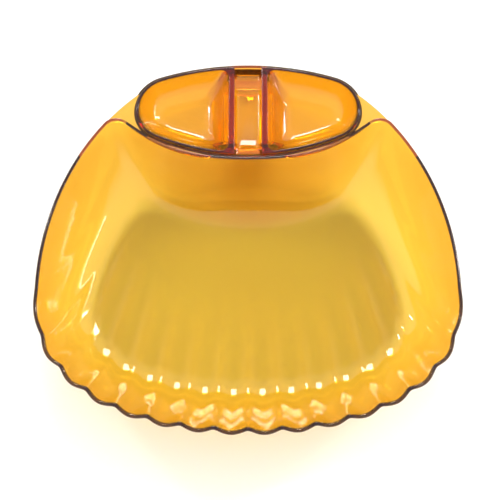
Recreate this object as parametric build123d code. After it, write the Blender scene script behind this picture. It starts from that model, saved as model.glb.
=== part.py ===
from build123d import *
import os
from math import atan2, cos, hypot, pi, radians, sin, tan

# Chip and dip server: a scallop-shaped bowl with a rear seat, and a two-cup dip dish that drops
# into the seat.  Millimetres, +Z up, +Y towards the dish, the table at Z = 0.

# ---- bowl -------------------------------------------------------------------------------------
RIM_Z = 45.0             # height of the bowl's rim above the table
FLOOR_T = 2.4            # thickness of the flat floor
WALL_T = 2.4             # thickness of the wall, measured level
WALL_POWER = 2.0         # the wall's height grows as this power of its outward travel
LEVELS = (0.0, 0.15, 0.35, 0.6, 0.82, 1.0)     # outward travel at each lofted section

# Half outlines from the front middle to the back middle, as four joined cubic Bezier spans.
RIM_HALF = (
    (0.0, -109.6), (73.8, -109.6), (120.5, -78.8), (120.5, -30.0),
    (120.5, 9.7), (107.4, 47.7), (84.2, 75.4),
    (80.9, 79.3), (74.9, 79.7), (70.8, 76.6),
    (50.8, 61.6), (38.0, 54.1), (0.0, 54.1),
)
FLOOR_HALF = (
    (0.0, -65.0), (51.8, -65.0), (84.5, -49.9), (84.5, -26.0),
    (84.5, -6.0), (74.0, 15.0), (62.0, 27.0),
    (58.5, 30.5), (54.0, 32.4), (48.0, 31.0),
    (33.0, 26.5), (20.0, 19.0), (0.0, 19.0),
)

# ---- flutes: lobes between ribs that run towards a pole behind the dish --------------------------
POLE_Y = 205.0           # where the ribs would meet
RIB_PITCH = radians(3.43)
RIB_COUNT = 7            # ribs on each side of the middle one
LOBE_OUT = 2.4           # how far a lobe stands out between two ribs at the rim
LOBE_LOW = 0.8           # and at the edge of the floor
END_LOBE_OUT = 1.0       # the last, short lobe beside the smooth side
SIDE_STATIONS = (1.0, 1.35, 1.7, 2.0, 2.5, 3.0, 3.35, 3.7)      # smooth side, corner and back

# ---- dip dish ---------------------------------------------------------------------------------
DISH_Y = 82.5            # middle of the dish
DISH_A = 65.3            # half width at its rim
DISH_B = 27.9            # half depth at its rim
DISH_FRONT_END_R = 18.0  # radius of the oval's ends in its front half
DISH_BACK_END_R = 21.0   # and in its back half, which is squarer
DISH_BASE_Z = 28.4
SKIRT_Z = 43.0           # the dish and its seat are upright above this level, and curve in below
CURVE_IN = 15.0          # how far they curve in towards their floors
DISH_DRAFT = tan(radians(3.0))
DISH_WALL = 1.8
DISH_FLOOR = 2.4
CHANNEL_HALF = 7.9       # half width of the channel between the cups
DIVIDER_T = 3.4          # wall between the channel and a cup
CHANNEL_FLOOR_Z = 33.5
LIP_Z = 38.0             # the channel's two end walls are lower than the rim
CHANNEL_END = 2.6        # from the dish's outline to the channel's ends, at the rim
CHANNEL_FLOOR_R = 3.0
RECESS_END = 12.0        # from the dish's outline to the ends of the recess under the channel
CUP_CORNER_R = 5.0       # corners of a cup at the rim
CUP_CURVE_IN = 15.5      # how far a cup's side curves in towards its floor
CURVE_SHARES = (0.0, 0.08, 0.2, 0.4, 0.65, 1.0)      # how far in at each lofted section
EDGE_R = 0.7             # rounding of the dish's rim
OPEN_ABOVE = 5.0         # how far a hollow's cutting block runs on above the rim

# ---- seat for the dish, moulded onto the bowl -----------------------------------------------------
SEAT_GAP = 0.5           # all round the dish
SEAT_UNDER_GAP = 0.3     # below the dish
SEAT_WALL = 1.8
SEAT_FLOOR = 2.0
LEDGE_Z = 43.2           # top of the ledge that ties the seat to the bowl
LEDGE_T = 1.8
EAR_A = 119.4            # half axes of the ledge's outer edge, about the bowl's widest line
EAR_B = 146.2
EAR_CENTRE_Y = -30.0
EAR_BACK_Y = 100.2       # behind this line the seat itself is the outer edge
LEDGE_FRONT_Y = 54.0
FOOT_HALF_WIDTH = 11.0   # rear foot under the seat's back wall
FOOT_TOP_Z = 40.5
FOOT_LEAN = 6.0          # how far its bottom stands out behind its top
FOOT_T = 3.0
FOOT_INSET = 1.0         # its top is this far in from the seat's outer face

# The whole object reaches from the front lobes to the rear foot; its middle goes to Y = 0.
FRONT_Y = -(109.6 + LOBE_OUT)
BACK_Y = DISH_Y + DISH_B + SEAT_GAP + SEAT_WALL + FOOT_LEAN
MIDDLE_Y = (FRONT_Y + BACK_Y) / 2


# ---- outline helpers ------------------------------------------------------------------------------
def bezier(points, station):
    """A point on a half outline, and the direction there; station counts spans from the front."""
    span = min(int(station), 3)
    t = station - span
    p0, p1, p2, p3 = points[3 * span:3 * span + 4]
    weights = ((1 - t) ** 3, 3 * t * (1 - t) ** 2, 3 * t * t * (1 - t), t ** 3)
    slopes = (-(1 - t) ** 2, (1 - t) * (1 - 3 * t), t * (2 - 3 * t), t * t)
    place = [sum(w * p[axis] for w, p in zip(weights, (p0, p1, p2, p3))) for axis in (0, 1)]
    along = [sum(w * p[axis] for w, p in zip(slopes, (p0, p1, p2, p3))) for axis in (0, 1)]
    return place, along


def wall_point(travel, station, inset=0.0, bulge=0.0):
    """A point of the wall's level outline, moved along the outline's normal."""
    points = [
        tuple(f + (r - f) * travel for f, r in zip(low, high))
        for low, high in zip(FLOOR_HALF, RIM_HALF)
    ]
    (x, y), (dx, dy) = bezier(points, station)
    out = (bulge - inset) / hypot(dx, dy)
    return x + out * dy, y - out * dx


def rib_station(index):
    """Where a rib meets the rim's front span, by halving."""
    low, high = 0.0, 1.0
    for _ in range(40):
        middle = (low + high) / 2
        (x, y), _ = bezier(RIM_HALF, middle)
        if atan2(x, POLE_Y - y) < index * RIB_PITCH:
            low = middle
        else:
            high = middle
    return (low + high) / 2


def wall_loop(travel, z, inset):
    """One level section of the wall: an arc for each lobe and for each smooth stretch."""
    ribs = [rib_station(index) for index in range(RIB_COUNT + 1)]
    stations = ribs + list(SIDE_STATIONS) + [4.0]
    right = []
    for index, (start, end) in enumerate(zip(stations, stations[1:])):
        lobe = LOBE_OUT if index < RIB_COUNT else END_LOBE_OUT if index == RIB_COUNT else 0.0
        bulge = lobe * (LOBE_LOW + (LOBE_OUT - LOBE_LOW) * travel) / LOBE_OUT
        first = wall_point(travel, start, inset)
        middle = wall_point(travel, (start + end) / 2, inset, bulge)
        last = wall_point(travel, end, inset)
        right.append((first, middle, last))
    left = [[(-x, y) for x, y in reversed(arc)] for arc in reversed(right)]
    return Wire([ThreePointArc(*[(x, y, z) for x, y in arc]) for arc in right + left])


def wall_solid(floor_z, inset, levels):
    """The solid inside the wall's outer face (no inset) or its cavity face."""
    loops = []
    for travel in levels:
        z = floor_z + (RIM_Z - floor_z) * travel ** WALL_POWER
        loops.append(wall_loop(travel, z, inset))
    return Solid.make_loft(loops)


def oval_point(grow, z, centre, radius, angle):
    """A point of an arc of the oval, from the arc's own centre and ungrown radius."""
    reach = radius + grow
    return centre[0] + reach * cos(angle), DISH_Y + centre[1] + reach * sin(angle), z


def oval(grow, z):
    """A level oval face: the dish's outline, grown or shrunk.  Each half has a broad arc and two
    end arcs that meet it without a corner."""
    arcs = []
    for side, end_r in ((1, DISH_BACK_END_R), (-1, DISH_FRONT_END_R)):
        end_x = DISH_A - end_r
        broad_r = (end_x ** 2 + DISH_B ** 2 - end_r ** 2) / (2 * (DISH_B - end_r))
        broad_y = DISH_B - broad_r
        turn = atan2(-broad_y, end_x)
        spans = (
            ((end_x, 0), end_r, 0, turn),
            ((0, broad_y), broad_r, turn, pi - turn),
            ((-end_x, 0), end_r, pi - turn, pi),
        )
        for (x, y), radius, start, end in spans:
            angles = (start, (start + end) / 2, end)
            arcs.append([oval_point(grow, z, (x, side * y), radius, side * angle) for angle in angles])
    return Face(Wire([ThreePointArc(*points) for points in arcs]))


def drafted(grow, z):
    """The margin for a wall with the dish's draft, at one level."""
    return grow - (RIM_Z - z) * DISH_DRAFT


def curved_side(top_z, floor_z, curve_in):
    """Inset and height at each level of a side that curves in to a floor, lowest first."""
    for share in reversed(CURVE_SHARES):
        yield curve_in * share, floor_z + (top_z - floor_z) * (1 - share) ** 2


def pan(grow, base_z, top_z):
    """A solid pan with the dish's outline, grown by a margin: curved underneath, upright above."""
    curved = [
        oval(drafted(grow, SKIRT_Z) - inset, z).outer_wire()
        for inset, z in curved_side(SKIRT_Z, base_z, CURVE_IN)
    ]
    upright = [oval(drafted(grow, z), z).outer_wire() for z in (SKIRT_Z, top_z)]
    return Solid.make_loft(curved) + Solid.make_loft(upright, ruled=True)


def slab(x_range, y_range, z_range):
    """A box from its ranges."""
    size = [high - low for low, high in (x_range, y_range, z_range)]
    corner = Location((x_range[0], y_range[0], z_range[0]))
    return corner * Box(*size, align=(Align.MIN, Align.MIN, Align.MIN))


# ---- the serving bowl -----------------------------------------------------------------------------
def make_ledge(bowl_outside):
    """The flat ledge between the bowl's back corners and the seat."""
    ears = Location((0, EAR_CENTRE_Y, LEDGE_Z - LEDGE_T)) * extrude(Ellipse(EAR_A, EAR_B), LEDGE_T)
    ears &= slab((-EAR_A, EAR_A), (LEDGE_FRONT_Y, EAR_BACK_Y), (0, RIM_Z))
    return ears - bowl_outside


def make_foot():
    """The curved rear foot, leaning out from under the seat's back wall to the table."""
    bottom_grow = SEAT_GAP + SEAT_WALL + FOOT_LEAN
    top_grow = drafted(SEAT_GAP + SEAT_WALL - FOOT_INSET, SKIRT_Z)
    outer, inner = [
        Solid.make_loft([
            oval(bottom_grow - thickness, 0).outer_wire(),
            oval(top_grow - thickness, FOOT_TOP_Z).outer_wire(),
        ], ruled=True)
        for thickness in (0.0, FOOT_T)
    ]
    keep = slab((-FOOT_HALF_WIDTH, FOOT_HALF_WIDTH), (DISH_Y, BACK_Y + 1), (0, FOOT_TOP_Z))
    return (outer - inner) & keep


def make_serving_bowl():
    outside = wall_solid(0.0, 0.0, LEVELS)
    cavity = wall_solid(FLOOR_T, WALL_T, LEVELS)
    seat_z = DISH_BASE_Z - SEAT_UNDER_GAP
    seat = pan(SEAT_GAP + SEAT_WALL, seat_z - SEAT_FLOOR, LEDGE_Z)
    pocket = pan(SEAT_GAP, seat_z, RIM_Z)
    bowl = outside + (make_ledge(outside) + seat + make_foot())
    return bowl - pocket - cavity


# ---- the dip dish ---------------------------------------------------------------------------------
def cup_plan(inset, z):
    """A cup's D-shaped outline at one level."""
    inner_x = CHANNEL_HALF + DIVIDER_T + inset
    half_plane = Rectangle(2 * DISH_A, 4 * DISH_B, align=(Align.MIN, Align.CENTER))
    plan = (oval(-DISH_WALL - inset, 0) & Location((inner_x, DISH_Y, 0)) * half_plane).faces()[0]
    corners = plan.vertices().filter_by_position(Axis.X, inner_x - 0.1, inner_x + 0.1)
    plan = plan.fillet_2d(CUP_CORNER_R, corners)
    return (Location((0, 0, z)) * plan).outer_wire()


def make_cup():
    """The hollow of the right-hand cup: a D whose side curves in to a flat floor."""
    floor_z = DISH_BASE_Z + DISH_FLOOR
    curved = [cup_plan(inset, z) for inset, z in curved_side(RIM_Z, floor_z, CUP_CURVE_IN)]
    mouth = Solid.make_loft([cup_plan(0, RIM_Z), cup_plan(0, RIM_Z + OPEN_ABOVE)], ruled=True)
    return Solid.make_loft(curved) + mouth


def trough(floor_z):
    """A straight hollow as wide as the channel, with a rounded floor, that runs right through."""
    along = (DISH_Y - 2 * DISH_B, DISH_Y + 2 * DISH_B)
    block = slab((-CHANNEL_HALF, CHANNEL_HALF), along, (floor_z, RIM_Z + OPEN_ABOVE))
    floor_edges = block.faces().sort_by(Axis.Z)[0].edges().filter_by(Axis.Y)
    return fillet(floor_edges, CHANNEL_FLOOR_R)


def make_channel():
    """The hollow of the channel, with its two lowered end walls and the recess beneath it."""
    ends = pan(-CHANNEL_END, DISH_BASE_Z + DISH_FLOOR, RIM_Z + OPEN_ABOVE)
    recess_x = CHANNEL_HALF + DIVIDER_T - DISH_WALL
    recess_y = DISH_B - RECESS_END
    recess_z = (DISH_BASE_Z - SEAT_FLOOR, CHANNEL_FLOOR_Z - DISH_FLOOR)
    recess = slab((-recess_x, recess_x), (DISH_Y - recess_y, DISH_Y + recess_y), recess_z)
    return (trough(CHANNEL_FLOOR_Z) & ends) + trough(LIP_Z) + recess


def make_dip_dish():
    cup = make_cup()
    dish = pan(0.0, DISH_BASE_Z, RIM_Z) - cup - mirror(cup, Plane.YZ) - make_channel()
    rims = [face for face in dish.faces() if abs(face.center().Z - RIM_Z) < 0.01]
    return fillet([edge for face in rims for edge in face.edges()], EDGE_R)


def save(shape, node):
    """Move a finished piece into the object's frame and write it."""
    placed = Location((0, -MIDDLE_Y, 0)) * shape
    export_step(placed, f"parts/{node}.step")


os.makedirs("parts", exist_ok=True)
save(make_serving_bowl(), "serving_bowl")
save(make_dip_dish(), "dip_dish")
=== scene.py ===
import math

import bpy
import numpy as np
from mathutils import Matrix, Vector


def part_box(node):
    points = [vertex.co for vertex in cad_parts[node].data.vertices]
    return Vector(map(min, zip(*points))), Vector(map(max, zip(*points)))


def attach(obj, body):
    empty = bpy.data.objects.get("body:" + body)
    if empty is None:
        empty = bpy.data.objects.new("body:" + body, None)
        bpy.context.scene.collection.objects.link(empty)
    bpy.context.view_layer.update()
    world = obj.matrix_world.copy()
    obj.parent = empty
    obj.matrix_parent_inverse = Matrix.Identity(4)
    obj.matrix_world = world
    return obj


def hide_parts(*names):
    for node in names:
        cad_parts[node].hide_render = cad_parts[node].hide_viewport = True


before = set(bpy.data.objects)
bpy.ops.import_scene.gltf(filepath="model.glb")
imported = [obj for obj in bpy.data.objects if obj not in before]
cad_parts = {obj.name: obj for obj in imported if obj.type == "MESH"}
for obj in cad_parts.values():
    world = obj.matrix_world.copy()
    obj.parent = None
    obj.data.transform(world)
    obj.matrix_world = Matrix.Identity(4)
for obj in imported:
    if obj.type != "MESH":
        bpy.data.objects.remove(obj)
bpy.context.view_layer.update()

MM = 0.001

# Sizes are in millimetres, as in the CAD model; build_mesh() turns them into metres.
BOWL_BACK_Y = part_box("serving_bowl")[1][1] / MM
DISH_LOW, DISH_HIGH = [[value / MM for value in corner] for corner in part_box("dip_dish")]
RIM_Z = DISH_HIGH[2]
DISH_BASE_Z = DISH_LOW[2]

# ---- bowl -------------------------------------------------------------------------------------
WALL_T = 2.2
WALL_POWER = 2.0         # the wall's height grows as this power of its outward travel
RIM_TRAVEL = 0.979       # outward travel where the rounding of the rim begins
RIM_HALF = (
    (0.0, -109.6), (73.8, -109.6), (120.5, -78.8), (120.5, -30.0),
    (120.5, 9.7), (107.4, 47.7), (84.2, 75.4),
    (80.9, 79.3), (74.9, 79.7), (70.8, 76.6),
    (50.8, 61.6), (38.0, 54.1), (0.0, 54.1),
)
FLOOR_HALF = (
    (0.0, -65.0), (51.8, -65.0), (84.5, -49.9), (84.5, -26.0),
    (84.5, -6.0), (74.0, 15.0), (62.0, 27.0),
    (58.5, 30.5), (54.0, 32.4), (48.0, 31.0),
    (33.0, 26.5), (20.0, 19.0), (0.0, 19.0),
)
FLOOR_CENTRE = (0.0, -22.0)
SPAN_STEPS = (192, 72, 30, 40)   # mesh columns along each span of a half outline
FLOOR_ROWS = 34
FLOOR_FIRST_SHARE = 0.03         # the innermost ring's size, as a share of the floor's outline
WALL_ROWS = 48
RIM_ROWS = 7

# ---- flutes -----------------------------------------------------------------------------------
POLE_Y = 205.0           # where the ribs would meet
RIB_PITCH = math.radians(3.43)
LAST_RIB = 7
LOBE_RIM = 2.4           # how far a lobe stands out at the rim
LOBE_LAST = 1.0
LOBE_LOW = 1.15          # and at the edge of the floor
CUSP_SOFT = 0.22         # larger makes the grooves between lobes wider
LOBE_POWER = 1.5         # a lobe grows from its low to its rim depth as this power of the travel
RIM_FADE_Y = (-30, 0)    # the lobes at the rim die out between these, going back
LOW_FADE_Y = -74         # those at the floor start to die out here on the middle line,
LOW_FADE_SIDE = 58       # this much further back at the sides,
LOW_FADE_X = (30, 90)    # with the change between these distances from the middle line,
LOW_FADE_LENGTH = 70     # and are gone after this

# ---- seat and dish ----------------------------------------------------------------------------
DISH_Y = 82.5
DISH_A = 65.3
DISH_B = 27.9
FRONT_END_R = 18.0
BACK_END_R = 21.0
SKIRT_Z = 43.0           # the dish and its seat are upright above this level, and curve in below
CURVE_IN = 15.0
DISH_DRAFT = math.tan(math.radians(3.0))
DISH_WALL = 1.5
DISH_FLOOR = 2.4
CHANNEL_HALF = 7.9
DIVIDER_T = 3.4
CHANNEL_FLOOR_Z = 33.5
CHANNEL_END = 2.6
CHANNEL_FLOOR_R = 3.0
CHANNEL_CORNER_R = 2.0
LIP_Z = 38.0
RECESS_END = 12.0
CUP_CORNER_R = 5.0
CUP_CURVE_IN = 15.5
CUP_CENTRE_X = DISH_A / 2 + 1.0
NEARLY_SQUARE_R = 0.01
EDGE_R = 0.6
SEAT_GAP = 0.5
SEAT_UNDER_GAP = 0.3
SEAT_WALL = 1.5
SEAT_FLOOR = 2.0
LEDGE_Z = 43.2
LEDGE_T = 1.8
LEDGE_EDGE_R = 0.6
EAR_A = 119.4
EAR_B = 146.2
EAR_CENTRE_Y = -30.0
EAR_BACK_Y = 100.2
LEDGE_FRONT_Y = 54.0
FOOT_HALF_WIDTH = 11.0
FOOT_TOP_Z = 40.5
FOOT_T = 3.0
FOOT_INSET = 0.7
FOOT_ROWS = 12
ABOVE = 15.0             # how far a cutting block runs on above the rim
RING_STEPS = 288
RING_REACH = 200.0       # no outline lies further than this from the middle of its ring
RING_HALVINGS = 40
LEDGE_STEPS = 3 * RING_STEPS
FOOT_STEPS = 4 * RING_STEPS

# The CAD frame has the middle of the object's box at Y = 0.
MIDDLE_Y = DISH_Y + DISH_B - DISH_HIGH[1]
FOOT_GROW = BOWL_BACK_Y - DISH_HIGH[1]       # from the dish's outline to the foot's bottom


# ---- mesh helpers -----------------------------------------------------------------------------
def build_mesh(name, rings):
    """A closed skin over a row of rings, each an (n, 3) array, with its two ends closed."""
    count = len(rings[0])
    points = np.concatenate(rings) - (0.0, MIDDLE_Y, 0.0)
    columns = np.arange(count)
    after = (columns + 1) % count
    faces = []
    for row in range(len(rings) - 1):
        low, high = row * count, (row + 1) * count
        corners = (low + columns, low + after, high + after, high + columns)
        faces += np.stack(corners, axis=1).tolist()
    faces.append(columns[::-1].tolist())
    faces.append(((len(rings) - 1) * count + columns).tolist())
    mesh = bpy.data.meshes.new(name)
    mesh.from_pydata((points * MM).tolist(), [], faces)
    mesh.update()
    piece = bpy.data.objects.new(name, mesh)
    bpy.context.scene.collection.objects.link(piece)
    return piece


def combine(piece, other, operation):
    """Apply one boolean to a piece and drop the other object."""
    step = piece.modifiers.new(operation, "BOOLEAN")
    step.operation = operation
    step.object = other
    step.solver = "MANIFOLD"
    bpy.context.view_layer.update()
    graph = bpy.context.evaluated_depsgraph_get()
    result = bpy.data.meshes.new_from_object(piece.evaluated_get(graph))
    piece.modifiers.clear()
    piece.data = result
    bpy.data.objects.remove(other)
    return piece


def cut(piece, name, rings):
    """Cut a hollow, given by its rings, out of a piece."""
    return combine(piece, build_mesh(name, rings), "DIFFERENCE")


def smooth_step(value, low, high):
    """0 up to low, 1 from high on, and a smooth change between."""
    t = np.clip((value - low) / (high - low), 0.0, 1.0)
    return t * t * (3 - 2 * t)


# ---- the bowl's sheet -------------------------------------------------------------------------
def half_outline(points):
    """Points along a half outline of four cubic Bezier spans."""
    places = []
    for span, steps in enumerate(SPAN_STEPS):
        t = np.linspace(0, 1, steps, endpoint=False)[:, None]
        p0, p1, p2, p3 = np.array(points[3 * span:3 * span + 4])
        places.append(
            (1 - t) ** 3 * p0
            + 3 * t * (1 - t) ** 2 * p1
            + 3 * t * t * (1 - t) * p2
            + t ** 3 * p3
        )
    return np.concatenate(places + [np.array(points[-1:])])


def full_outline(points):
    """A closed outline from its right half."""
    right = half_outline(points)
    left = right[-2:0:-1] * (-1, 1)
    return np.concatenate([right, left])


def bowl_base():
    """The smooth outer face as rows of rings, and the outward travel of each row."""
    low, high = full_outline(FLOOR_HALF), full_outline(RIM_HALF)
    rows, travels = [], []
    for share in np.linspace(FLOOR_FIRST_SHARE, 1, FLOOR_ROWS, endpoint=False):
        plan = FLOOR_CENTRE + (low - FLOOR_CENTRE) * share
        rows.append(np.column_stack([plan, np.zeros(len(plan))]))
        travels.append(0.0)
    for travel in np.linspace(0, RIM_TRAVEL, WALL_ROWS):
        plan = low + (high - low) * travel
        rows.append(np.column_stack([plan, np.full(len(plan), RIM_Z * travel ** WALL_POWER)]))
        travels.append(travel)
    return np.array(rows), np.array(travels)[:, None]


def flute_height(base, travels):
    """How far the flutes push the outer face outwards: a round lobe between each two ribs."""
    x, y = base[..., 0], base[..., 1]
    turn = np.arctan2(x, POLE_Y - y) / RIB_PITCH
    swing = np.sin(math.pi * turn)
    lobe = (np.hypot(swing, CUSP_SOFT) - CUSP_SOFT) / (math.hypot(1, CUSP_SOFT) - CUSP_SOFT)
    across = np.floor(np.abs(turn))
    at_rim = np.where(across < LAST_RIB, LOBE_RIM, np.where(across == LAST_RIB, LOBE_LAST, 0.0))
    at_rim = at_rim * (1 - smooth_step(y, *RIM_FADE_Y))
    fade_from = LOW_FADE_Y + LOW_FADE_SIDE * smooth_step(np.abs(x), *LOW_FADE_X)
    kept = 1 - smooth_step(y, fade_from, fade_from + LOW_FADE_LENGTH)
    low_part = LOBE_LOW * kept * (1 - travels ** LOBE_POWER)
    return lobe * (low_part + at_rim * travels ** LOBE_POWER) - low_part * (1 - travels) ** 2


def bowl_faces():
    """Outer and inner faces of the sheet, with the directions out of it and up it."""
    base, travels = bowl_base()
    wrapped = np.concatenate([base[:, -1:], base, base[:, :1]], axis=1)
    around = wrapped[:, 2:] - wrapped[:, :-2]
    up = np.gradient(base, axis=0)
    normal = np.cross(around, up)
    normal /= np.linalg.norm(normal, axis=2, keepdims=True)
    up /= np.linalg.norm(up, axis=2, keepdims=True)
    outer = base + normal * flute_height(base, travels)[..., None]
    inner = outer - normal * WALL_T
    return outer, inner, up


def make_bowl_sheet():
    """The bowl's own wall and floor, with a rounded rim."""
    outer, inner, up = bowl_faces()
    middle = (outer[-1] + inner[-1]) / 2
    rim = []
    for angle in np.linspace(0, math.pi, RIM_ROWS + 2)[1:-1]:
        sideways = (outer[-1] - middle) * math.cos(angle)
        rim.append(middle + sideways + up[-1] * WALL_T / 2 * math.sin(angle))
    return build_mesh("serving_bowl_shell", list(outer) + rim + list(inner[::-1]))


def make_bowl_core():
    """The space inside the middle of the sheet, for trimming what is joined on behind it."""
    outer, inner, _ = bowl_faces()
    middle = (outer + inner) / 2
    top = middle[-1].copy()
    top[:, 2] = RIM_Z + ABOVE
    return build_mesh("core", list(middle) + [top])


# ---- outlines given by how far outside them a point lies --------------------------------------
def outside_oval(x, y):
    """Distance outside the dish's outline at its rim."""
    x, y = np.abs(x), y - DISH_Y
    result = np.zeros_like(x)
    for back, end_r in ((True, BACK_END_R), (False, FRONT_END_R)):
        end_x = DISH_A - end_r
        broad_r = (end_x ** 2 + DISH_B ** 2 - end_r ** 2) / (2 * (DISH_B - end_r))
        broad_y = DISH_B - broad_r
        depth = y if back else -y
        in_end = (depth - broad_y) * end_x < -broad_y * x
        end = np.hypot(x - end_x, depth) - end_r
        broad = np.hypot(x, depth - broad_y) - broad_r
        result = np.where(depth >= 0, np.where(in_end, end, broad), result)
    return result


def rounded_meet(a, b, radius):
    """The overlap of two outlines, with its corners rounded."""
    corner = np.hypot(np.maximum(a + radius, 0), np.maximum(b + radius, 0))
    return np.minimum(np.maximum(a, b), -radius) + corner


def cup_outline(inset):
    """A cup's D-shaped outline, moved in by a distance."""
    inner_x = CHANNEL_HALF + DIVIDER_T + inset

    def outside(x, y):
        return rounded_meet(outside_oval(x, y) + DISH_WALL + inset, inner_x - x, CUP_CORNER_R)
    return outside


def box_outline(half_x, half_y, radius):
    """A rectangle round the middle of the dish, with rounded corners."""
    def outside(x, y):
        return rounded_meet(np.abs(x) - half_x, np.abs(y - DISH_Y) - half_y, radius)
    return outside


def outside_ears(x, y):
    """Distance outside the ledges at the bowl's back corners."""
    ellipse = (np.hypot(x / EAR_A, (y - EAR_CENTRE_Y) / EAR_B) - 1) * EAR_A
    return np.maximum(ellipse, np.maximum(LEDGE_FRONT_Y - y, y - EAR_BACK_Y))


def ring(outside, grow, z, centre_x=0.0, steps=RING_STEPS):
    """A level ring where an outline, grown by a margin, is met going out from a centre."""
    angle = np.linspace(0, 2 * math.pi, steps, endpoint=False)
    c, s = np.cos(angle), np.sin(angle)
    near, far = np.zeros(steps), np.full(steps, RING_REACH)
    for _ in range(RING_HALVINGS):
        middle = (near + far) / 2
        inside = outside(centre_x + middle * c, DISH_Y + middle * s) < grow
        near, far = np.where(inside, middle, near), np.where(inside, far, middle)
    return np.column_stack([centre_x + near * c, DISH_Y + near * s, np.full(steps, z)])


def rounding(inset, rise, steps=6):
    """Inset and rise along a quarter round, from its widest point to its end."""
    for angle in np.linspace(0, math.pi / 2, steps):
        yield inset * (1 - math.cos(angle)), rise * math.sin(angle)


def curved_side(top_z, floor_z, curve_in, steps=24):
    """Inset and height along a side that curves in to a floor, lowest first."""
    for share in np.linspace(1, 0, steps):
        yield curve_in * share, floor_z + (top_z - floor_z) * (1 - share) ** 2


def drafted(grow, z):
    """A margin at the rim, as it is lower down a wall with the dish's draft."""
    return grow - (RIM_Z - z) * DISH_DRAFT


def pan_rings(grow, base_z, top_z, edge_r):
    """Rings of a pan with the dish's outline: curved underneath, upright above, edge rounded."""
    rings = []
    for inset, z in list(curved_side(SKIRT_Z, base_z, CURVE_IN))[:-1]:
        rings.append(ring(outside_oval, drafted(grow, SKIRT_Z) - inset, z))
    for inset, rise in rounding(edge_r, edge_r):
        z = top_z - edge_r + rise
        rings.append(ring(outside_oval, drafted(grow, z) - inset, z))
    return rings


def mouth_rings(outside, centre_x=0.0):
    """Rings of a hollow's mouth: it rounds out at the rim, then the cutting block runs on above."""
    rings = []
    for inset, rise in reversed(list(rounding(EDGE_R, EDGE_R))):
        rings.append(ring(outside, EDGE_R - rise, RIM_Z - inset, centre_x))
    top = rings[-1].copy()
    top[:, 2] += ABOVE
    return rings + [top]


def trough_rings(outside, floor_z, floor_r):
    """Rings of a hollow with an upright wall and a rounded floor."""
    rings = []
    for inset, drop in reversed(list(rounding(floor_r, floor_r, 10))):
        rings.append(ring(outside, -inset, floor_z + floor_r - drop))
    return rings + mouth_rings(outside)


# ---- the serving bowl -------------------------------------------------------------------------
def make_ledge():
    """The flat plate behind the bowl that ties the seat to it."""
    bottom = LEDGE_Z - LEDGE_T + LEDGE_EDGE_R
    top = LEDGE_Z - LEDGE_EDGE_R
    rings = []
    for inset, drop in reversed(list(rounding(LEDGE_EDGE_R, LEDGE_EDGE_R))):
        rings.append(ring(outside_ears, -inset, bottom - drop, steps=LEDGE_STEPS))
    for inset, rise in rounding(LEDGE_EDGE_R, LEDGE_EDGE_R):
        rings.append(ring(outside_ears, -inset, top + rise, steps=LEDGE_STEPS))
    return build_mesh("ledge", rings)


def resample_band(outer, inner, steps=96):
    """One closed loop round a band, with the same number of points at every level."""
    def evenly(points):
        x = np.linspace(FOOT_HALF_WIDTH, -FOOT_HALF_WIDTH, steps)
        order = np.argsort(points[:, 0])
        y = np.interp(x, points[order, 0], points[order, 1])
        return np.column_stack([x, y, np.full(steps, points[0, 2])])
    return np.concatenate([evenly(outer), evenly(inner)[::-1]])


def make_foot():
    """The curved rear foot: a band of the seat's outline that leans out towards the table."""
    top_grow = drafted(SEAT_GAP + SEAT_WALL - FOOT_INSET, SKIRT_Z)
    rings = []
    for z in np.linspace(0, FOOT_TOP_Z, FOOT_ROWS):
        grow = FOOT_GROW + (top_grow - FOOT_GROW) * z / FOOT_TOP_Z
        outer = ring(outside_oval, grow, z, steps=FOOT_STEPS)
        inner = ring(outside_oval, grow - FOOT_T, z, steps=FOOT_STEPS)
        keep = (np.abs(outer[:, 0]) < FOOT_HALF_WIDTH + 1) & (outer[:, 1] > DISH_Y)
        rings.append(resample_band(outer[keep], inner[keep]))
    return build_mesh("foot", rings)


def make_serving_bowl():
    """The bowl with its ledges, seat and foot, as one closed skin."""
    seat_z = DISH_BASE_Z - SEAT_UNDER_GAP
    seat = pan_rings(SEAT_GAP + SEAT_WALL, seat_z - SEAT_FLOOR, LEDGE_Z, LEDGE_EDGE_R)
    rear = build_mesh("seat", seat)
    rear = combine(rear, make_ledge(), "UNION")
    rear = combine(rear, make_foot(), "UNION")
    rear = combine(rear, make_bowl_core(), "DIFFERENCE")
    rear = cut(rear, "pocket", pan_rings(SEAT_GAP, seat_z, RIM_Z + ABOVE, 0.0))
    piece = combine(make_bowl_sheet(), rear, "UNION")
    piece.name = "bowl_piece"
    return piece


# ---- the dip dish -----------------------------------------------------------------------------
def cup_rings():
    """Rings of the right cup's hollow."""
    rings = []
    for inset, z in curved_side(RIM_Z, DISH_BASE_Z + DISH_FLOOR, CUP_CURVE_IN, 30):
        if z < RIM_Z - 2 * EDGE_R:
            rings.append(ring(cup_outline(inset), 0.0, z, CUP_CENTRE_X))
    return rings + mouth_rings(cup_outline(0.0), CUP_CENTRE_X)


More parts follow.
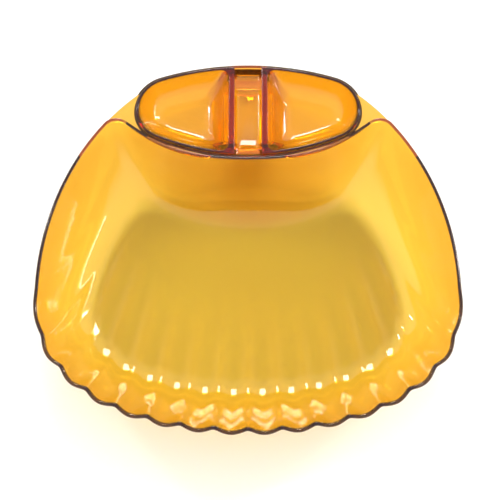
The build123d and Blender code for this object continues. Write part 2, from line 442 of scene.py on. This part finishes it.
def make_dip_dish():
    """The dish with its two cups, its channel and the recess under the channel."""
    dish = build_mesh("dish_piece", pan_rings(0.0, DISH_BASE_Z, RIM_Z, EDGE_R))
    right_cup = cup_rings()
    left_cup = [(points * (-1, 1, 1))[::-1] for points in right_cup]
    dish = cut(dish, "right_cup", right_cup)
    dish = cut(dish, "left_cup", left_cup)
    across = box_outline(CHANNEL_HALF, 2 * DISH_B, NEARLY_SQUARE_R)
    channel = build_mesh("channel", trough_rings(across, CHANNEL_FLOOR_Z, CHANNEL_FLOOR_R))
    ends = pan_rings(-CHANNEL_END, DISH_BASE_Z + DISH_FLOOR, RIM_Z + ABOVE, 0.0)
    channel = combine(channel, build_mesh("channel_ends", ends), "INTERSECT")
    dish = combine(dish, channel, "DIFFERENCE")
    dish = cut(dish, "notch", trough_rings(across, LIP_Z, CHANNEL_FLOOR_R))
    recess_half = CHANNEL_HALF + DIVIDER_T - DISH_WALL
    recess = box_outline(recess_half, DISH_B - RECESS_END, CHANNEL_CORNER_R)
    levels = (DISH_BASE_Z - SEAT_FLOOR, CHANNEL_FLOOR_Z - DISH_FLOOR)
    return cut(dish, "recess", [ring(recess, 0.0, z) for z in levels])


# ---- materials --------------------------------------------------------------------------------
# A noise is (scale per metre, detail), and a stretch is the scale along each axis.  Levels are the
# part of a noise that counts, and a roughness is what its two ends turn into.
MOTTLE = (1.0, 0.95, 0.80)
MOTTLE_NOISE = (14.0, 2.0)
HAZE_NOISE = (60.0, 4.0)
HAZE_LEVELS = (0.3, 0.7)
HAZE_ROUGHNESS = (0.012, 0.05)
SCRATCH_STRETCH = (1500.0, 90.0, 300.0)
SCRATCH_NOISE = (1.0, 2.0)
SCRATCH_LEVELS = (0.66, 0.74)
SCRATCH_ROUGHNESS = (0.0, 0.10)
UNDER_HEIGHT = 1.2               # the underside is scuffed up to this height, in millimetres
UNDER_ROUGHNESS = (0.22, 0.0)
RUBBED_NOISE = (220.0, 3.0)
EDGE_NOISE = (160.0, 3.0)
EDGE_LEVELS = (0.45, 0.65)
EDGE_ROUGHNESS = (0.0, 0.12)
RIPPLE_NOISE = (45.0, 1.0)
FINE_STRETCH = (900.0, 35.0, 120.0)
FINE_NOISE = (1.0, 1.0)
FINE_SHARE = 0.12
BUMP_STRENGTH = 0.12
PAINTED_RIM_BAND = 0.9                   # the painted dark rim, a painted shade for the dark outline, comes in over this height, in millimetres
TRANSMISSION = 0.97
IOR = 1.5
SHARP_ANGLE = math.radians(50)

# Absorbed light is per metre; tints are (share of RIM_Z, colour), painted shade that is paler low
# down and deeper towards the rim; painted dark rims are (full from Z, colour).
BOWL_ABSORBED = (4.0, 44.0, 300.0)
# Painted shade: the bowl's amber is painted paler low down and deeper towards the rim, for the
# darkening where light runs along inside the wall.
BOWL_TINTS_AND_SHADE = (
    (0.0, (1.0, 0.92, 0.26)),
    (0.12, (1.0, 0.78, 0.17)),
    (0.36, (0.94, 0.65, 0.13)),
    (0.80, (0.86, 0.52, 0.10)),
)
# Painted shade: the top millimetre or so of the bowl's rim is painted a very dark red, for the dark
# outline that refraction gives there.
BOWL_PAINTED_DARK_RIM = (44.6, (0.14, 0.01, 0.008))
DISH_ABSORBED = (10.0, 60.0, 280.0)
# Painted shade: the dish's amber is painted deeper towards its rim.
DISH_TINTS_AND_SHADE = (
    (0.63, (1.0, 0.90, 0.22)),
    (1.0, (0.96, 0.76, 0.17)),
)
# Painted shade: the dish's rim is painted dark red in the same way.
DISH_PAINTED_DARK_RIM = (44.9, (0.20, 0.01, 0.014))


def fill_ramp(ramp, stops):
    """Set a colour ramp's stops from (position, colour) pairs."""
    while len(ramp.elements) < len(stops):
        ramp.elements.new(0.5)
    for element, (position, colour) in zip(ramp.elements, stops):
        element.position = position
        element.color = (*colour, 1.0)


class Graph:
    """Short calls for building one material's nodes."""

    def __init__(self, name):
        self.material = bpy.data.materials.new(name)
        self.material.use_nodes = True
        self.nodes = self.material.node_tree.nodes
        self.shader = self.nodes["Principled BSDF"]

    def link(self, source, target):
        self.material.node_tree.links.new(source, target)

    def noise(self, vector, scale, detail):
        node = self.nodes.new("ShaderNodeTexNoise")
        node.inputs["Scale"].default_value = scale
        node.inputs["Detail"].default_value = detail
        self.link(vector, node.inputs["Vector"])
        return node.outputs["Fac"]

    def stretch(self, vector, scale):
        node = self.nodes.new("ShaderNodeMapping")
        node.inputs["Scale"].default_value = scale
        self.link(vector, node.inputs["Vector"])
        return node.outputs["Vector"]

    def remap(self, value, source, target, shape="SMOOTHSTEP"):
        node = self.nodes.new("ShaderNodeMapRange")
        node.interpolation_type = shape
        node.inputs["From Min"].default_value, node.inputs["From Max"].default_value = source
        node.inputs["To Min"].default_value, node.inputs["To Max"].default_value = target
        self.link(value, node.inputs["Value"])
        return node.outputs["Result"]

    def math(self, operation, first, second):
        node = self.nodes.new("ShaderNodeMath")
        node.operation = operation
        for socket, value in zip(node.inputs, (first, second)):
            if isinstance(value, float):
                socket.default_value = value
            else:
                self.link(value, socket)
        return node.outputs["Value"]

    def ramp(self, value, stops):
        node = self.nodes.new("ShaderNodeValToRGB")
        fill_ramp(node.color_ramp, stops)
        self.link(value, node.inputs["Fac"])
        return node.outputs["Color"]

    def mix(self, share, first, second, blend="MIX"):
        """The first colour, mixed with the second as far as the share says."""
        node = self.nodes.new("ShaderNodeMix")
        node.data_type = "RGBA"
        node.blend_type = blend
        colours = [socket for socket in node.inputs if socket.type == "RGBA"]
        for socket, colour in zip(colours, (first, second)):
            if isinstance(colour, tuple):
                socket.default_value = (*colour, 1.0)
            else:
                self.link(colour, socket)
        self.link(share, node.inputs["Factor"])
        return next(socket for socket in node.outputs if socket.type == "RGBA")

    def bump(self, height, strength):
        node = self.nodes.new("ShaderNodeBump")
        node.inputs["Strength"].default_value = strength
        node.inputs["Distance"].default_value = MM
        self.link(height, node.inputs["Height"])
        self.link(node.outputs["Normal"], self.shader.inputs["Normal"])


def amber_plastic(name, absorbed, tints_and_shade, rim):
    """Clear moulded plastic: its colour comes from how much of it the light goes through.  Its
    surface tint is painted shade, deeper towards the rim, for where light runs along inside the
    wall, and its very rim is painted a dark red as painted shade for the dark outline there."""
    graph = Graph(name)
    place_node = graph.nodes.new("ShaderNodeTexCoord")
    place = place_node.outputs["Object"]
    split = graph.nodes.new("ShaderNodeSeparateXYZ")
    graph.link(place, split.inputs["Vector"])
    height = split.outputs["Z"]

    # The rim entry holds the height and colour of the painted dark rim, a painted shade.
    rim_z, painted_rim_shade = rim[0] * MM, rim[1]
    share = graph.remap(height, (0.0, RIM_Z * MM), (0.0, 1.0), "LINEAR")
    # Painted shade: the surface tint is looked up by height and is deeper towards the rim.
    shaded_tint = graph.ramp(share, tints_and_shade)
    shaded_tint = graph.mix(graph.noise(place, *MOTTLE_NOISE), shaded_tint, MOTTLE, "MULTIPLY")
    # Painted shade: at_rim is the band where the dark rim colour is painted in; the same band also
    # gets edge wear in roughness.
    at_rim = graph.remap(height, (rim_z - PAINTED_RIM_BAND * MM, rim_z), (0.0, 1.0))
    graph.link(graph.mix(at_rim, shaded_tint, painted_rim_shade), graph.shader.inputs["Base Color"])

    haze = graph.remap(graph.noise(place, *HAZE_NOISE), HAZE_LEVELS, HAZE_ROUGHNESS)
    scratches = graph.noise(graph.stretch(place, SCRATCH_STRETCH), *SCRATCH_NOISE)
    scratches = graph.remap(scratches, SCRATCH_LEVELS, SCRATCH_ROUGHNESS)
    under = graph.remap(height, (0.0, UNDER_HEIGHT * MM), UNDER_ROUGHNESS)
    patches = graph.noise(place, *RUBBED_NOISE)
    rubbed = graph.math("MULTIPLY", patches, graph.math("ADD", under, scratches))
    worn = graph.remap(graph.noise(place, *EDGE_NOISE), EDGE_LEVELS, EDGE_ROUGHNESS)
    edge_wear = graph.math("MULTIPLY", at_rim, worn)
    rough = graph.math("ADD", haze, graph.math("ADD", rubbed, edge_wear))
    graph.link(rough, graph.shader.inputs["Roughness"])

    ripple = graph.noise(place, *RIPPLE_NOISE)
    fine = graph.noise(graph.stretch(place, FINE_STRETCH), *FINE_NOISE)
    fine = graph.math("MULTIPLY", fine, FINE_SHARE)
    graph.bump(graph.math("ADD", ripple, fine), BUMP_STRENGTH)

    graph.shader.inputs["Transmission Weight"].default_value = TRANSMISSION
    graph.shader.inputs["IOR"].default_value = IOR
    density = max(absorbed)
    absorb = graph.nodes.new("ShaderNodeVolumeAbsorption")
    absorb.inputs["Color"].default_value = (*[1 - value / density for value in absorbed], 1.0)
    absorb.inputs["Density"].default_value = density
    graph.link(absorb.outputs["Volume"], graph.nodes["Material Output"].inputs["Volume"])
    return graph.material


def finish_piece(piece, material, node, body):
    """Give a piece its material and smooth shading, attach it to its body, and hide the CAD node
    that it replaces.
    """
    piece.data.materials.clear()
    piece.data.materials.append(material)
    piece.data.shade_smooth()
    piece.data.set_sharp_from_angle(angle=SHARP_ANGLE)
    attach(piece, body)
    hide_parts(node)


bowl_plastic = amber_plastic("bowl_amber", BOWL_ABSORBED, BOWL_TINTS_AND_SHADE, BOWL_PAINTED_DARK_RIM)
dish_plastic = amber_plastic("dish_amber", DISH_ABSORBED, DISH_TINTS_AND_SHADE, DISH_PAINTED_DARK_RIM)
finish_piece(make_serving_bowl(), bowl_plastic, "serving_bowl", "bowl")
finish_piece(make_dip_dish(), dish_plastic, "dip_dish", "dish")


# ---- floor, light and camera ------------------------------------------------------------------
# Sizes and places are in metres, and the lens and its sensor in millimetres.
FLOOR_SIZE = 6.0
FLOOR_Z = -0.0005                # just under the bowl, so that the two faces never meet
FLOOR_COLOUR = (0.96, 0.96, 0.96)
FLOOR_ROUGHNESS = 0.6
WORLD_STRENGTH = 1.35
WORLD_LEVELS = ((0.0, 0.06), (0.32, 1.0), (0.78, 1.0), (0.95, 0.6))     # (height, brightness)
LIGHTS = (                       # name, place, target, size, power in watts
    ("right_back", (1.56, 0.74, 0.96), (-0.06, 0, 0.02), (0.18, 0.60), 10.0),
    ("left_back", (-1.44, 1.0, 1.10), (0.06, 0, 0.02), (0.16, 0.45), 8.0),
    ("back_box", (0.0, 1.96, 1.00), (0, -0.06, 0), (0.60, 0.68), 20.0),
    ("right_low", (1.75, 0.30, 0.62), (-0.09, 0, 0.02), (1.6, 0.10), 6.0),
    ("channel_strip", (1.37, 0.76, 1.33), (0, 0.08, 0.04), (0.10, 0.40), 3.0),
)
ELEVATION = math.radians(70.0)
DISTANCE = 1.0
AIM = (0.0011, -0.0078, RIM_Z * MM)
LENS = 127.5
SENSOR_WIDTH = 36.0


def plain(name, colour, roughness):
    """A material of one colour, for the stage."""
    material = bpy.data.materials.new(name)
    material.use_nodes = True
    shader = material.node_tree.nodes["Principled BSDF"]
    shader.inputs["Base Color"].default_value = (*colour, 1.0)
    shader.inputs["Roughness"].default_value = roughness
    return material


def add_light(name, place, target, size, power):
    """A rectangular area light at a place, turned towards a target."""
    data = bpy.data.lights.new(name, "AREA")
    data.shape = "RECTANGLE"
    data.size, data.size_y = size
    data.energy = power
    lamp = bpy.data.objects.new(name, data)
    lamp.location = place
    lamp.rotation_euler = (Vector(target) - Vector(place)).to_track_quat("-Z", "Y").to_euler()
    bpy.context.scene.collection.objects.link(lamp)


def make_world():
    """A studio that is bright part way up and darker at the horizon and straight above, so that
    the edges of the clear plastic read dark and its flat faces are not veiled."""
    world = bpy.data.worlds.new("studio")
    bpy.context.scene.world = world
    world.use_nodes = True
    nodes, links = world.node_tree.nodes, world.node_tree.links
    place = nodes.new("ShaderNodeTexCoord")
    split = nodes.new("ShaderNodeSeparateXYZ")
    ramp = nodes.new("ShaderNodeValToRGB")
    ramp.color_ramp.interpolation = "EASE"
    greys = [(position, (level, level, level)) for position, level in WORLD_LEVELS]
    fill_ramp(ramp.color_ramp, greys)
    links.new(place.outputs["Generated"], split.inputs["Vector"])
    links.new(split.outputs["Z"], ramp.inputs["Fac"])
    links.new(ramp.outputs["Color"], nodes["Background"].inputs["Color"])
    nodes["Background"].inputs["Strength"].default_value = WORLD_STRENGTH


bpy.ops.mesh.primitive_plane_add(size=FLOOR_SIZE, location=(0, 0, FLOOR_Z))
floor = bpy.context.object
floor.name = "floor"
floor.data.materials.append(plain("floor_white", FLOOR_COLOUR, FLOOR_ROUGHNESS))

make_world()
for light in LIGHTS:
    add_light(*light)

camera_data = bpy.data.cameras.new("camera")
camera_data.lens = LENS
camera_data.sensor_width = SENSOR_WIDTH
camera = bpy.data.objects.new("camera", camera_data)
camera.location = (
    AIM[0],
    AIM[1] - DISTANCE * math.cos(ELEVATION),
    AIM[2] + DISTANCE * math.sin(ELEVATION),
)
camera.rotation_euler = (math.pi / 2 - ELEVATION, 0, 0)
bpy.context.scene.collection.objects.link(camera)
bpy.context.scene.camera = camera
bpy.context.scene.view_settings.view_transform = "Standard"
